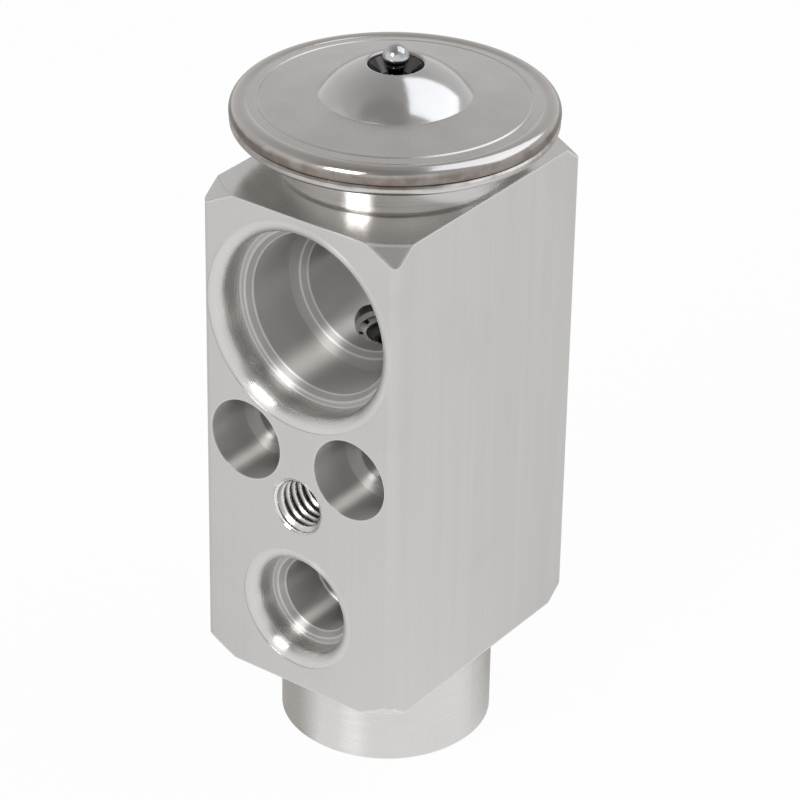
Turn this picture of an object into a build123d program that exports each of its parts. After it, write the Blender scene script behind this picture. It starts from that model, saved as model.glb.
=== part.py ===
import os
from math import asin, degrees, radians, sqrt, tan

from build123d import *

# Block-type thermostatic expansion valve for a vehicle's cooling circuit.
# All lengths are in millimetres. +Z runs up the valve's own axis, the face with
# the fixing holes looks towards -Y, and the origin is the middle of the flat
# underside of the boss, on which the valve stands.

# Valve block, sawn from an extruded bar and turned at its top and bottom
block_width = 24.0
block_depth = 31.5
block_height = 54.4
block_edge_radius = 0.9
turned_face_diameter = 35.5
boss_diameter = 22.5
boss_height = 10.7
boss_edge_break = 0.4

# Heights of the cross holes above the underside of the block
suction_height = 42.27
bolt_height = 27.3
stud_height = 21.75
outlet_height = 20.1
inlet_height = 9.36

# Pipe ports: a rounded lip, a seat for the seal ring, and the bore for the pipe
port_lip_radius = 1.3
port_spot_margin = 0.2
port_spot_depth = 0.06
port_lead_in = 0.6
suction_seal_diameter = 19.8
suction_seal_depth = 3.4
suction_bore_diameter = 17.4
suction_bore_depth = 9.8
suction_passage_diameter = 13.4
port_step_break = 0.6
liquid_seal_diameter = 10.8
liquid_seal_depth = 2.95
liquid_bore_diameter = 8.4
liquid_passage_diameter = 7.0
inlet_bore_depth = 8.7
outlet_bore_depth = 9.8
passage_overlap = 2.5

# Two holes for the cap screws and one threaded hole for the stud
bolt_spacing = 13.1
bolt_head_diameter = 8.8
bolt_head_depth = 5.3
bolt_hole_diameter = 5.5
bolt_hole_break = 0.35
drill_point_angle = 118.0
stud_thread_diameter = 6.0
stud_thread_pitch = 1.0
stud_thread_length = 9.5
stud_drill_length = 10.5
stud_lead_in = 0.2

# Metering section: orifice, seat, ball, carrier and the chamber around them
orifice_diameter = 3.3
orifice_land = 1.75
seat_mouth_diameter = 4.8
ball_diameter = 5.0
seat_gap = 0.03
chamber_diameter = 12.2
carrier_diameter = 9.4
carrier_thickness = 2.0
carrier_cup_diameter = 4.4
carrier_relief_diameter = 1.8
carrier_spigot_diameter = 6.2
carrier_spigot_length = 3.0
small_break = 0.2
broad_break = 0.4

# Damping clip of spring sheet, with legs that brush the chamber's wall
clip_sheet = 0.3
clip_leg_length = 6.0
clip_leg_count = 4
clip_leg_gap = 2.2
clip_wall_clearance = 0.07
clip_bend_radius = 0.6

# Superheat spring
spring_wire = 1.2
spring_mean_diameter = 7.8
spring_turns = 4.5

# Adjusting screw in the boss, with its seal ring
adjuster_thread_diameter = 14.0
adjuster_thread_pitch = 1.0
thread_depth_share = 0.55
adjuster_thread_length = 5.0
adjuster_recess = 1.5
adjuster_travel = 1.0
adjuster_key_size = 6.0
adjuster_key_depth = 4.5
adjuster_head_length = 5.7
adjuster_land_clearance = 0.06
adjuster_groove_width = 1.6
adjuster_groove_lip = 0.5
adjuster_groove_depth = 1.45
adjuster_cup_depth = 1.0
adjuster_cup_clearance = 0.25
adjuster_thread_runout = 0.3
boss_mouth_break = 0.6

# Push rod and its guide, seal ring and retaining ring
stroke = 0.8
rod_diameter = 2.4
rod_tip_diameter = 2.0
rod_clearance = 0.05
touch_gap = 0.02
rod_shoulder_drop = 1.2
rod_seal_pocket_diameter = 6.8
seal_gap = 0.03
retainer_thickness = 0.5
retainer_dish = 0.2
retainer_hole_diameter = 5.2
retainer_recess = 0.3
retainer_notch_count = 8
retainer_notch_width = 0.6
retainer_notch_depth = 0.45
pocket_lip_break = 0.4

# Socket in the top of the block for the thermostatic head
head_thread_diameter = 11.0
head_thread_clearance = 0.08
head_stem_length = 5.6
head_socket_relief = 0.7
head_seal_groove_diameter = 15.0
head_seal_groove_depth = 1.75

# Thermostatic head: lower shell with neck, diaphragm, upper shell and plug. The
# insets are measured inwards from the outside of the rolled bead.
head_diameter = 33.0
flange_inset = 0.05
diaphragm_inset = 0.45
shell_mark_inset = 2.85
shell_cavity_inset = 3.75
neck_diameter = 23.2
neck_wall = 1.4
neck_height = 4.2
neck_edge_break = 0.25
neck_fillet = 0.8
flange_thickness = 1.2
bowl_edge_break = 0.8
head_bore_diameter = 8.2
diaphragm_sheet = 0.2
diaphragm_waves = 3
diaphragm_wave_height = 0.3
diaphragm_wave_inner = 5.4
diaphragm_wave_pitch = 1.7
diaphragm_wave_width = 1.36
pad_clearance = 0.4
pad_thickness = 1.5
pad_gap = 0.05
pad_stop_clearance = 0.1
pad_boss_diameter = 6.8
pad_boss_length = 3.4
pad_socket_depth = 2.6
bead_radius = 1.2
bead_lift = 0.45
bead_step = 0.15
shell_sheet = 1.0
shell_dome_rise = 0.7
shell_mark_width = 0.3
shell_mark_depth = 0.1
roof_apex_inset = 0.3
roof_edge_inset = 0.4
cavity_edge_inset = 0.5
cone_base_diameter = 15.4
cone_rise = 3.15
cone_bulge = 0.4
crater_diameter = 5.45
crater_floor_diameter = 3.5
crater_depth = 1.75
crater_rim_radius = 0.35
charge_hole_diameter = 1.9
plug_clearance = 0.02
plug_collar_diameter = 2.7
plug_collar_height = 0.45
plug_neck_diameter = 1.6
plug_ball_diameter = 2.68
plug_ball_rise = 0.65

# Heights above the underside of the boss that several pieces share
block_bottom = boss_height
block_top = block_bottom + block_height
suction_z = block_bottom + suction_height
bolt_z = block_bottom + bolt_height
stud_z = block_bottom + stud_height
outlet_z = block_bottom + outlet_height
inlet_z = block_bottom + inlet_height

# Seat, ball and carrier follow the floor of the outlet bore
outlet_floor_z = outlet_z - liquid_passage_diameter / 2
seat_top_z = outlet_floor_z - orifice_land
seat_roof_z = seat_top_z - (seat_mouth_diameter - orifice_diameter) / 2
ball_radius = ball_diameter / 2
seat_contact_radius = ball_radius * sqrt(0.5)
seat_contact_z = seat_roof_z + seat_mouth_diameter / 2 - seat_contact_radius
ball_z = seat_contact_z - seat_contact_radius - seat_gap * sqrt(2)
cup_contact_z = ball_z - seat_contact_radius - touch_gap * sqrt(2)
carrier_top_z = cup_contact_z - seat_contact_radius + carrier_cup_diameter / 2
carrier_seat_z = carrier_top_z - carrier_thickness
clip_under_z = carrier_seat_z - clip_sheet

# The adjusting screw sits in the boss
adjuster_low_z = adjuster_recess
adjuster_shoulder_z = adjuster_low_z + adjuster_thread_length
adjuster_top_z = adjuster_shoulder_z + adjuster_head_length
adjuster_bore_end_z = adjuster_shoulder_z + adjuster_travel + adjuster_thread_runout
adjuster_core_radius = adjuster_thread_diameter / 2 - thread_depth_share * adjuster_thread_pitch
adjuster_land_radius = chamber_diameter / 2 - adjuster_land_clearance
groove_root_radius = adjuster_land_radius - adjuster_groove_depth
groove_top_z = adjuster_top_z - adjuster_cup_depth - adjuster_groove_lip
spring_low_z = adjuster_top_z - adjuster_cup_depth

# The rod's seal pocket opens into the suction passage
suction_floor_z = suction_z - suction_passage_diameter / 2
rod_radius = rod_diameter / 2
pocket_radius = rod_seal_pocket_diameter / 2
rod_seal_radius = (pocket_radius - rod_radius) / 2 - seal_gap
rod_seal_height = 2 * rod_seal_radius + 2 * seal_gap
pocket_depth = rod_seal_height + retainer_thickness + retainer_recess
pocket_floor_z = suction_floor_z - pocket_depth
outlet_roof_z = outlet_z + liquid_passage_diameter / 2

# The head stands on the block
flange_under_z = block_top + neck_height
flange_top_z = flange_under_z + flange_thickness
shell_under_z = flange_top_z + diaphragm_sheet
shell_flat_z = shell_under_z + bead_lift + bead_radius - bead_step
pad_top_z = flange_top_z - pad_gap
pad_under_z = pad_top_z - pad_thickness
bowl_floor_z = pad_under_z - stroke - pad_stop_clearance
pad_boss_low_z = pad_under_z - pad_boss_length
rod_top_z = pad_boss_low_z + pad_socket_depth - touch_gap
socket_floor_z = block_top - head_stem_length - head_socket_relief


def drill_point(radius):
    """Length of the cone that a drill of this radius leaves at its bottom."""
    return radius / tan(radians(drill_point_angle / 2))


def port_section(plane, seal_radius, seal_depth, bore_radius, deeper):
    """Half section of a port's hollow: x is the radius, y the depth from the face.

    The lip is a quarter round that ends on the wall of the seal seat. Past the
    lead-in the outline follows the (radius, depth) pairs in deeper.
    """
    lip_end = port_spot_depth + port_lip_radius
    lip_mouth = seal_radius + port_lip_radius
    spot_radius = lip_mouth + port_spot_margin
    lead_radius = bore_radius + port_lead_in
    with BuildSketch(plane) as section:
        with BuildLine():
            CenterArc((lip_mouth, lip_end), port_lip_radius, 180, 90)
            Polyline(
                (lip_mouth, port_spot_depth),
                (spot_radius, port_spot_depth),
                (spot_radius, 0),
                (0, 0),
                (0, deeper[-1][1]),
                *reversed(deeper),
                (bore_radius, seal_depth + port_lead_in),
                (lead_radius, seal_depth),
                (seal_radius, seal_depth),
                (seal_radius, lip_end),
            )
        make_face()
    return section.sketch


def ring(radius, tube_radius, height):
    """Round section of a seal ring, drawn in the plane through the valve's axis."""
    with BuildSketch(Plane.XZ) as section:
        with Locations((radius, height)):
            Circle(tube_radius)
    return section.sketch


front_y = -block_depth / 2
back_y = block_depth / 2

# Valve body: one solid of aluminium with every hole and passage in it
suction_bore_radius = suction_bore_diameter / 2
suction_radius = suction_passage_diameter / 2
liquid_bore_radius = liquid_bore_diameter / 2
liquid_radius = liquid_passage_diameter / 2
suction_passage = [
    (suction_bore_radius, suction_bore_depth),
    (suction_radius + port_step_break, suction_bore_depth),
    (suction_radius, suction_bore_depth + port_step_break),
    (suction_radius, back_y),
]
inlet_passage = [
    (liquid_bore_radius, inlet_bore_depth),
    (liquid_radius + port_step_break, inlet_bore_depth),
    (liquid_radius, inlet_bore_depth + port_step_break),
    (liquid_radius, back_y - passage_overlap),
]
outlet_passage = [
    (liquid_bore_radius, outlet_bore_depth),
    (liquid_radius + port_step_break, outlet_bore_depth),
    (liquid_radius, outlet_bore_depth + port_step_break),
    (liquid_radius, back_y + passage_overlap),
]
bolt_x = bolt_spacing / 2
bolt_radius = bolt_hole_diameter / 2
stud_radius = stud_thread_diameter / 2
stud_drill_radius = stud_radius - thread_depth_share * stud_thread_pitch
mouth_radius = adjuster_thread_diameter / 2 + boss_mouth_break

with BuildPart() as valve_body:
    with BuildSketch(Plane.XY.offset(block_bottom)):
        RectangleRounded(block_width, block_depth, block_edge_radius)
    extrude(amount=block_height)

    # The lathe tool that faces the top and the bottom cones off the corners
    with BuildSketch(Plane.XZ) as turned_outline:
        face_radius = turned_face_diameter / 2
        reach = face_radius + block_height / 2
        with BuildLine():
            Polyline(
                (0, block_bottom),
                (face_radius, block_bottom),
                (reach, (block_bottom + block_top) / 2),
                (face_radius, block_top),
                (0, block_top),
                close=True,
            )
        make_face()
    revolve(axis=Axis.Z, mode=Mode.INTERSECT)

    with BuildSketch(Plane.XY):
        Circle(boss_diameter / 2)
    extrude(amount=boss_height)
    chamfer(valve_body.edges().group_by(Axis.Z)[0], boss_edge_break)

    # Suction ports, one from each side, meeting in the middle of the block
    for face_y, side in ((front_y, 1), (back_y, -1)):
        port_plane = Plane(origin=(0, face_y, suction_z), x_dir=(1, 0, 0), z_dir=(0, 0, side))
        suction_cut = port_section(
            port_plane,
            suction_seal_diameter / 2,
            suction_seal_depth,
            suction_bore_radius,
            suction_passage,
        )
        revolve(suction_cut, axis=Axis((0, face_y, suction_z), (0, 1, 0)), mode=Mode.SUBTRACT)

    # Liquid inlet in front, outlet behind and one step higher
    for face_y, side, port_z, passage in (
        (front_y, 1, inlet_z, inlet_passage),
        (back_y, -1, outlet_z, outlet_passage),
    ):
        port_plane = Plane(origin=(0, face_y, port_z), x_dir=(1, 0, 0), z_dir=(0, 0, side))
        liquid_cut = port_section(
            port_plane,
            liquid_seal_diameter / 2,
            liquid_seal_depth,
            liquid_bore_radius,
            passage,
        )
        revolve(liquid_cut, axis=Axis((0, face_y, port_z), (0, 1, 0)), mode=Mode.SUBTRACT)

    # Pockets and through holes for the two cap screws
    for hole_x in (-bolt_x, bolt_x):
        bolt_plane = Plane(origin=(hole_x, front_y, bolt_z), x_dir=(1, 0, 0), z_dir=(0, 0, 1))
        with BuildSketch(bolt_plane):
            with BuildLine():
                Polyline(
                    (0, 0),
                    (bolt_head_diameter / 2, 0),
                    (bolt_head_diameter / 2, bolt_head_depth),
                    (bolt_radius + bolt_hole_break, bolt_head_depth),
                    (bolt_radius, bolt_head_depth + bolt_hole_break),
                    (bolt_radius, block_depth),
                    (0, block_depth),
                    close=True,
                )
            make_face()
        revolve(axis=Axis((hole_x, front_y, bolt_z), (0, 1, 0)), mode=Mode.SUBTRACT)

    # Blind hole for the stud, at the outer diameter of its thread
    with BuildSketch(Plane(origin=(0, front_y, stud_z), x_dir=(1, 0, 0), z_dir=(0, 0, 1))):
        with BuildLine():
            Polyline(
                (0, 0),
                (stud_radius + stud_lead_in, 0),
                (stud_radius, stud_lead_in),
                (stud_radius, stud_thread_length),
                (stud_drill_radius, stud_thread_length),
                (stud_drill_radius, stud_drill_length),
                (0, stud_drill_length + drill_point(stud_drill_radius)),
                close=True,
            )
        make_face()
    revolve(axis=Axis((0, front_y, stud_z), (0, 1, 0)), mode=Mode.SUBTRACT)

    # Everything on the valve's own axis, from the boss up to the head's socket
    with BuildSketch(Plane.XZ):
        with BuildLine():
            Polyline(
                (0, 0),
                (mouth_radius, 0),
                (adjuster_thread_diameter / 2, boss_mouth_break),
                (adjuster_thread_diameter / 2, adjuster_bore_end_z),
                (chamber_diameter / 2, adjuster_bore_end_z + small_break),
                (chamber_diameter / 2, seat_roof_z),
                (seat_mouth_diameter / 2, seat_roof_z),
                (orifice_diameter / 2, seat_top_z),
                (orifice_diameter / 2, outlet_z),
                (rod_radius + rod_clearance, outlet_z),
                (rod_radius + rod_clearance, pocket_floor_z),
                (pocket_radius, pocket_floor_z),
                (pocket_radius, suction_floor_z - small_break),
                (pocket_radius + pocket_lip_break, suction_floor_z + small_break),
                (pocket_radius + pocket_lip_break, socket_floor_z),
                (head_thread_diameter / 2, socket_floor_z),
                (head_thread_diameter / 2, block_top - head_seal_groove_depth),
                (head_seal_groove_diameter / 2, block_top - head_seal_groove_depth),
                (head_seal_groove_diameter / 2, block_top),
                (0, block_top),
                close=True,
            )
        make_face()
    revolve(axis=Axis.Z, mode=Mode.SUBTRACT)

# Lower shell of the head: flange, neck and threaded stem in one turned piece
stem_radius = head_thread_diameter / 2 - head_thread_clearance
neck_radius = neck_diameter / 2
flange_radius = head_diameter / 2 - flange_inset
flange_round = flange_thickness - small_break
bowl_radius = neck_radius - neck_wall
stem_end_z = block_top - head_stem_length

with BuildPart() as head_base:
    with BuildSketch(Plane.XZ):
        with BuildLine():
            Polyline(
                (neck_radius, flange_under_z - neck_fillet),
                (neck_radius, block_top + neck_edge_break),
                (neck_radius - neck_edge_break, block_top),
                (stem_radius, block_top),
                (stem_radius, stem_end_z + broad_break),
                (stem_radius - broad_break, stem_end_z),
                (head_bore_diameter / 2, stem_end_z),
                (head_bore_diameter / 2, bowl_floor_z),
                (bowl_radius, bowl_floor_z),
                (bowl_radius, flange_top_z - bowl_edge_break),
                (bowl_radius + bowl_edge_break, flange_top_z),
                (flange_radius - small_break, flange_top_z),
                (flange_radius, flange_top_z - small_break),
            )
            CenterArc(
                (flange_radius - flange_round, flange_top_z - small_break),
                flange_round,
                270,
                90,
            )
            Line(
                (flange_radius - flange_round, flange_under_z),
                (neck_radius + neck_fillet, flange_under_z),
            )
            CenterArc((neck_radius + neck_fillet, flange_under_z - neck_fillet), neck_fillet, 90, 90)
        make_face()
    revolve(axis=Axis.Z)

# Seal ring between the head's neck and the block
head_seal_radius = head_seal_groove_depth / 2 - touch_gap
head_seal_centre = (stem_radius + head_seal_groove_diameter / 2) / 2

with BuildPart() as head_seal:
    head_seal_z = block_top - head_seal_groove_depth / 2
    revolve(ring(head_seal_centre, head_seal_radius, head_seal_z), axis=Axis.Z)

# Thrust pad under the diaphragm, with a blind socket for the rod's upper end
pad_radius = bowl_radius - pad_clearance
pad_boss_radius = pad_boss_diameter / 2
pad_socket_radius = rod_radius + rod_clearance

with BuildPart() as thrust_pad:
    with BuildSketch(Plane.XZ):
        with BuildLine():
            Polyline(
                (0, pad_top_z),
                (pad_radius - broad_break, pad_top_z),
                (pad_radius, pad_top_z - broad_break),
                (pad_radius, pad_under_z + small_break),
                (pad_radius - small_break, pad_under_z),
                (pad_boss_radius, pad_under_z),
                (pad_boss_radius, pad_boss_low_z + small_break),
                (pad_boss_radius - small_break, pad_boss_low_z),
                (pad_socket_radius + small_break, pad_boss_low_z),
                (pad_socket_radius, pad_boss_low_z + small_break),
                (pad_socket_radius, pad_boss_low_z + pad_socket_depth),
                (0, pad_boss_low_z + pad_socket_depth),
                close=True,
            )
        make_face()
    revolve(axis=Axis.Z)

# Diaphragm: a thin sheet whose rings bulge up between flat stretches
diaphragm_radius = head_diameter / 2 - diaphragm_inset
wave_starts = [diaphragm_wave_inner + i * diaphragm_wave_pitch for i in range(diaphragm_waves)]

with BuildPart() as diaphragm:
    with BuildSketch(Plane.XZ):
        with BuildLine():
            for sheet_z in (flange_top_z, shell_under_z):
                edge = 0.0
                for start in wave_starts:
                    Line((edge, sheet_z), (start, sheet_z))
                    ThreePointArc(
                        (start, sheet_z),
                        (start + diaphragm_wave_width / 2, sheet_z + diaphragm_wave_height),
                        (start + diaphragm_wave_width, sheet_z),
                    )
                    edge = start + diaphragm_wave_width
                Line((edge, sheet_z), (diaphragm_radius, sheet_z))
            Line((0, flange_top_z), (0, shell_under_z))
            Line((diaphragm_radius, flange_top_z), (diaphragm_radius, shell_under_z))
        make_face()
    revolve(axis=Axis.Z)

# Upper shell of the head: rolled bead, shallow dome and a bulged cone with a crater
bead_centre = head_diameter / 2 - bead_radius
bead_z = shell_under_z + bead_lift
bead_start = -degrees(asin(bead_lift / bead_radius))
bead_end = 180 - degrees(asin((shell_flat_z - bead_z) / bead_radius))
flat_edge = bead_centre - sqrt(bead_radius**2 - (shell_flat_z - bead_z) ** 2)
bead_foot = bead_centre + sqrt(bead_radius**2 - bead_lift**2)
cone_base_radius = cone_base_diameter / 2
cone_base_z = shell_flat_z + shell_dome_rise
cone_top_z = cone_base_z + cone_rise
crater_radius = crater_diameter / 2
crater_floor_radius = crater_floor_diameter / 2
crater_floor_z = cone_top_z - crater_depth
charge_hole_radius = charge_hole_diameter / 2
cone_top_radius = crater_radius + crater_rim_radius
cone_slope = cone_rise / (cone_base_radius - cone_top_radius)
cone_stretch = sqrt(1 + cone_slope**2)
cone_drop = shell_sheet * cone_stretch
dome_slope = shell_dome_rise / (flat_edge - cone_base_radius)
mark_radius = head_diameter / 2 - shell_mark_inset
mark_z = shell_flat_z + dome_slope * (flat_edge - mark_radius)
roof_apex_radius = cone_top_radius + roof_apex_inset
roof_apex_z = cone_top_z - roof_apex_inset * cone_slope - cone_drop
roof_edge_radius = cone_base_radius - roof_edge_inset
roof_edge_z = cone_top_z - cone_slope * (roof_edge_radius - cone_top_radius) - cone_drop
bulge_out = cone_bulge * cone_slope / cone_stretch
bulge_up = cone_bulge / cone_stretch
cavity_radius = head_diameter / 2 - shell_cavity_inset
cavity_edge = cavity_radius - cavity_edge_inset
cavity_edge_z = shell_flat_z + dome_slope * (flat_edge - cavity_edge) - shell_sheet

with BuildPart() as head_cap:
    with BuildSketch(Plane.XZ):
        with BuildLine():
            Line((cavity_radius, shell_under_z), (bead_foot, shell_under_z))
            CenterArc((bead_centre, bead_z), bead_radius, bead_start, bead_end - bead_start)
            Polyline(
                (flat_edge, shell_flat_z),
                (mark_radius + shell_mark_width / 2, mark_z - dome_slope * shell_mark_width / 2),
                (mark_radius, mark_z - shell_mark_depth),
                (mark_radius - shell_mark_width / 2, mark_z + dome_slope * shell_mark_width / 2),
            )
            Line(
                (mark_radius - shell_mark_width / 2, mark_z + dome_slope * shell_mark_width / 2),
                (cone_base_radius, cone_base_z),
            )
            ThreePointArc(
                (cone_base_radius, cone_base_z),
                (
                    (cone_base_radius + cone_top_radius) / 2 + bulge_out,
                    (cone_base_z + cone_top_z) / 2 + bulge_up,
                ),
                (cone_top_radius, cone_top_z),
            )
            CenterArc((cone_top_radius, cone_top_z - crater_rim_radius), crater_rim_radius, 90, 90)
            FilletPolyline(
                (crater_radius, cone_top_z - crater_rim_radius),
                (crater_floor_radius, crater_floor_z),
                (charge_hole_radius, crater_floor_z),
                radius=small_break,
            )
            Polyline(
                (charge_hole_radius, crater_floor_z),
                (charge_hole_radius, crater_floor_z - shell_sheet),
                (crater_floor_radius + roof_edge_inset, crater_floor_z - shell_sheet),
                (roof_apex_radius, roof_apex_z),
            )
            ThreePointArc(
                (roof_apex_radius, roof_apex_z),
                (
                    (roof_apex_radius + roof_edge_radius) / 2 + bulge_out,
                    (roof_apex_z + roof_edge_z) / 2 + bulge_up,
                ),
                (roof_edge_radius, roof_edge_z),
            )
            Polyline(
                (roof_edge_radius, roof_edge_z),
                (cavity_edge, cavity_edge_z),
                (cavity_radius, shell_under_z),
            )
        make_face()
    revolve(axis=Axis.Z)

# Plug that closes the charge hole: stem, weld collar, neck and ball end
plug_stem_radius = charge_hole_radius - plug_clearance
plug_neck_radius = plug_neck_diameter / 2
plug_ball_radius = plug_ball_diameter / 2
plug_ball_z = cone_top_z + plug_ball_rise
plug_join_z = plug_ball_z - sqrt(plug_ball_radius**2 - plug_neck_radius**2)
plug_collar_top_z = crater_floor_z + plug_collar_height

with BuildPart() as charge_plug:
    with BuildSketch(Plane.XZ):
        with BuildLine():
            Polyline(
                (0, plug_ball_z + plug_ball_radius),
                (0, crater_floor_z - shell_sheet),
                (plug_stem_radius, crater_floor_z - shell_sheet),
                (plug_stem_radius, crater_floor_z),
                (plug_collar_diameter / 2, crater_floor_z),
                (plug_collar_diameter / 2 - small_break, plug_collar_top_z),
                (plug_neck_radius, plug_collar_top_z + small_break),
                (plug_neck_radius, plug_join_z),
            )
            ThreePointArc(
                (plug_neck_radius, plug_join_z),
                (plug_ball_radius, plug_ball_z),
                (0, plug_ball_z + plug_ball_radius),
            )
        make_face()
    revolve(axis=Axis.Z)

# Push rod from the thrust pad down to the ball, slimmer where it passes the orifice
rod_low_z = ball_z + ball_radius + touch_gap
rod_shoulder_z = outlet_roof_z - rod_shoulder_drop
rod_tip_radius = rod_tip_diameter / 2

with BuildPart() as actuating_rod:
    with BuildSketch(Plane.XZ):
        with BuildLine():
            Polyline(
                (0, rod_low_z),
                (rod_tip_radius - small_break, rod_low_z),
                (rod_tip_radius, rod_low_z + small_break),
                (rod_tip_radius, rod_shoulder_z - small_break),
                (rod_radius, rod_shoulder_z),
                (rod_radius, rod_top_z - small_break),
                (rod_radius - small_break, rod_top_z),
                (0, rod_top_z),
                close=True,
            )
        make_face()
    revolve(axis=Axis.Z)

# Seal ring around the rod, at the bottom of its pocket
rod_seal_centre = (rod_radius + pocket_radius) / 2
rod_seal_z = pocket_floor_z + seal_gap + rod_seal_radius

with BuildPart() as rod_seal:
    revolve(ring(rod_seal_centre, rod_seal_radius, rod_seal_z), axis=Axis.Z)

# Dished retaining ring over the seal, notched around its outer edge
retainer_radius = pocket_radius - seal_gap
retainer_hole_radius = retainer_hole_diameter / 2
retainer_low_z = pocket_floor_z + rod_seal_height
retainer_top_z = retainer_low_z + retainer_thickness

with BuildPart() as seal_retainer:
    with BuildSketch(Plane.XZ):
        with BuildLine():
            Polyline(
                (retainer_hole_radius, retainer_low_z),
                (retainer_radius, retainer_low_z),
                (retainer_radius, retainer_top_z),
                (retainer_hole_radius, retainer_top_z - retainer_dish),
                close=True,
            )
        make_face()
    revolve(axis=Axis.Z)
    with BuildSketch(Plane.XY.offset(retainer_low_z)):
        with PolarLocations(retainer_radius, retainer_notch_count):
            Rectangle(2 * retainer_notch_depth, retainer_notch_width)
    extrude(amount=retainer_thickness, mode=Mode.SUBTRACT)

# Valve ball, just clear of its seat
with BuildPart() as valve_ball:
    with BuildSketch(Plane.XZ):
        with BuildLine():
            Line((0, ball_z - ball_radius), (0, ball_z + ball_radius))
            ThreePointArc(
                (0, ball_z - ball_radius),
                (ball_radius, ball_z),
                (0, ball_z + ball_radius),
            )
        make_face()
    revolve(axis=Axis.Z)

# Ball carrier: a conical cup for the ball, a flange for the spring and a spigot in it
cup_radius = carrier_cup_diameter / 2
relief_radius = carrier_relief_diameter / 2
spigot_radius = carrier_spigot_diameter / 2
spigot_low_z = carrier_seat_z - carrier_spigot_length

with BuildPart() as ball_carrier:
    with BuildSketch(Plane.XZ):
        with BuildLine():
            Polyline(
                (relief_radius, carrier_top_z - (cup_radius - relief_radius)),
                (cup_radius, carrier_top_z),
                (carrier_diameter / 2 - small_break, carrier_top_z),
                (carrier_diameter / 2, carrier_top_z - small_break),
                (carrier_diameter / 2, carrier_seat_z),
                (spigot_radius, carrier_seat_z),
                (spigot_radius, spigot_low_z + broad_break),
                (spigot_radius - broad_break, spigot_low_z),
                (relief_radius, spigot_low_z),
                close=True,
            )
        make_face()
    revolve(axis=Axis.Z)

# Damping clip: a crown held between the carrier and the spring
clip_outer_radius = chamber_diameter / 2 - clip_wall_clearance
clip_inner_radius = clip_outer_radius - clip_sheet
clip_hole_radius = spigot_radius + small_break
clip_leg_low_z = carrier_seat_z - clip_leg_length

with BuildPart() as damping_clip:
    with BuildSketch(Plane.XZ):
        with BuildLine():
            Polyline(
                (clip_outer_radius - clip_bend_radius, carrier_seat_z),
                (clip_hole_radius, carrier_seat_z),
                (clip_hole_radius, clip_under_z),
                (clip_outer_radius - clip_bend_radius, clip_under_z),
            )
            CenterArc(
                (clip_outer_radius - clip_bend_radius, carrier_seat_z - clip_bend_radius),
                clip_bend_radius - clip_sheet,
                0,
                90,
            )
            Polyline(
                (clip_inner_radius, carrier_seat_z - clip_bend_radius),
                (clip_inner_radius, clip_leg_low_z),
                (clip_outer_radius, clip_leg_low_z),
                (clip_outer_radius, carrier_seat_z - clip_bend_radius),
            )
            CenterArc(
                (clip_outer_radius - clip_bend_radius, carrier_seat_z - clip_bend_radius),
                clip_bend_radius,
                0,
                90,
            )
        make_face()
    revolve(axis=Axis.Z)
    # Slots between the legs, turned so that one leg faces the inlet
    slot_start = clip_outer_radius - clip_bend_radius
    with BuildSketch(Plane.XY.offset(clip_leg_low_z)):
        with PolarLocations(slot_start + chamber_diameter / 4, clip_leg_count, 180 / clip_leg_count):
            Rectangle(chamber_diameter / 2, clip_leg_gap)
    extrude(amount=clip_leg_length, mode=Mode.SUBTRACT)

# Superheat spring, coiled from wire and ground flat at both ends
spring_length = clip_under_z - spring_low_z
spring_pitch = spring_length / spring_turns

with BuildPart() as superheat_spring:
    with BuildLine():
        coil = Helix(
            pitch=spring_pitch,
            height=spring_length,
            radius=spring_mean_diameter / 2,
            center=(0, 0, spring_low_z),
        )
    with BuildSketch(Plane(origin=coil @ 0, z_dir=coil % 0)):
        Circle(spring_wire / 2)
    sweep(is_frenet=True)
    with BuildSketch(Plane.XY.offset(spring_low_z)):
        Circle(spring_mean_diameter / 2 + spring_wire)
    extrude(amount=spring_length, mode=Mode.INTERSECT)

# Adjusting screw: threaded end with a hexagon socket, grooved head with a spring cup
adjuster_cup_radius = (spring_mean_diameter + spring_wire) / 2 + adjuster_cup_clearance
groove_low_z = groove_top_z - adjuster_groove_width

with BuildPart() as adjusting_screw:
    with BuildSketch(Plane.XZ):
        with BuildLine():
            Polyline(
                (0, adjuster_low_z),
                (adjuster_core_radius - broad_break, adjuster_low_z),
                (adjuster_core_radius, adjuster_low_z + broad_break),
                (adjuster_core_radius, adjuster_shoulder_z - small_break),
                (adjuster_land_radius, adjuster_shoulder_z),
                (adjuster_land_radius, groove_low_z),
                (groove_root_radius, groove_low_z),
                (groove_root_radius, groove_top_z),
                (adjuster_land_radius, groove_top_z),
                (adjuster_land_radius, adjuster_top_z - small_break),
                (adjuster_land_radius - small_break, adjuster_top_z),
                (adjuster_cup_radius, adjuster_top_z),
                (adjuster_cup_radius, spring_low_z),
                (0, spring_low_z),
                close=True,
            )
        make_face()
    revolve(axis=Axis.Z)
    with BuildSketch(Plane.XY.offset(adjuster_low_z)):
        RegularPolygon(adjuster_key_size / 2, 6, major_radius=False)
    extrude(amount=adjuster_key_depth, mode=Mode.SUBTRACT)

# Seal ring in the adjusting screw's groove
adjuster_seal_radius = (chamber_diameter / 2 - groove_root_radius) / 2 - seal_gap
adjuster_seal_centre = (chamber_diameter / 2 + groove_root_radius) / 2
adjuster_seal_z = (groove_low_z + groove_top_z) / 2

with BuildPart() as adjuster_seal:
    revolve(ring(adjuster_seal_centre, adjuster_seal_radius, adjuster_seal_z), axis=Axis.Z)

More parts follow.
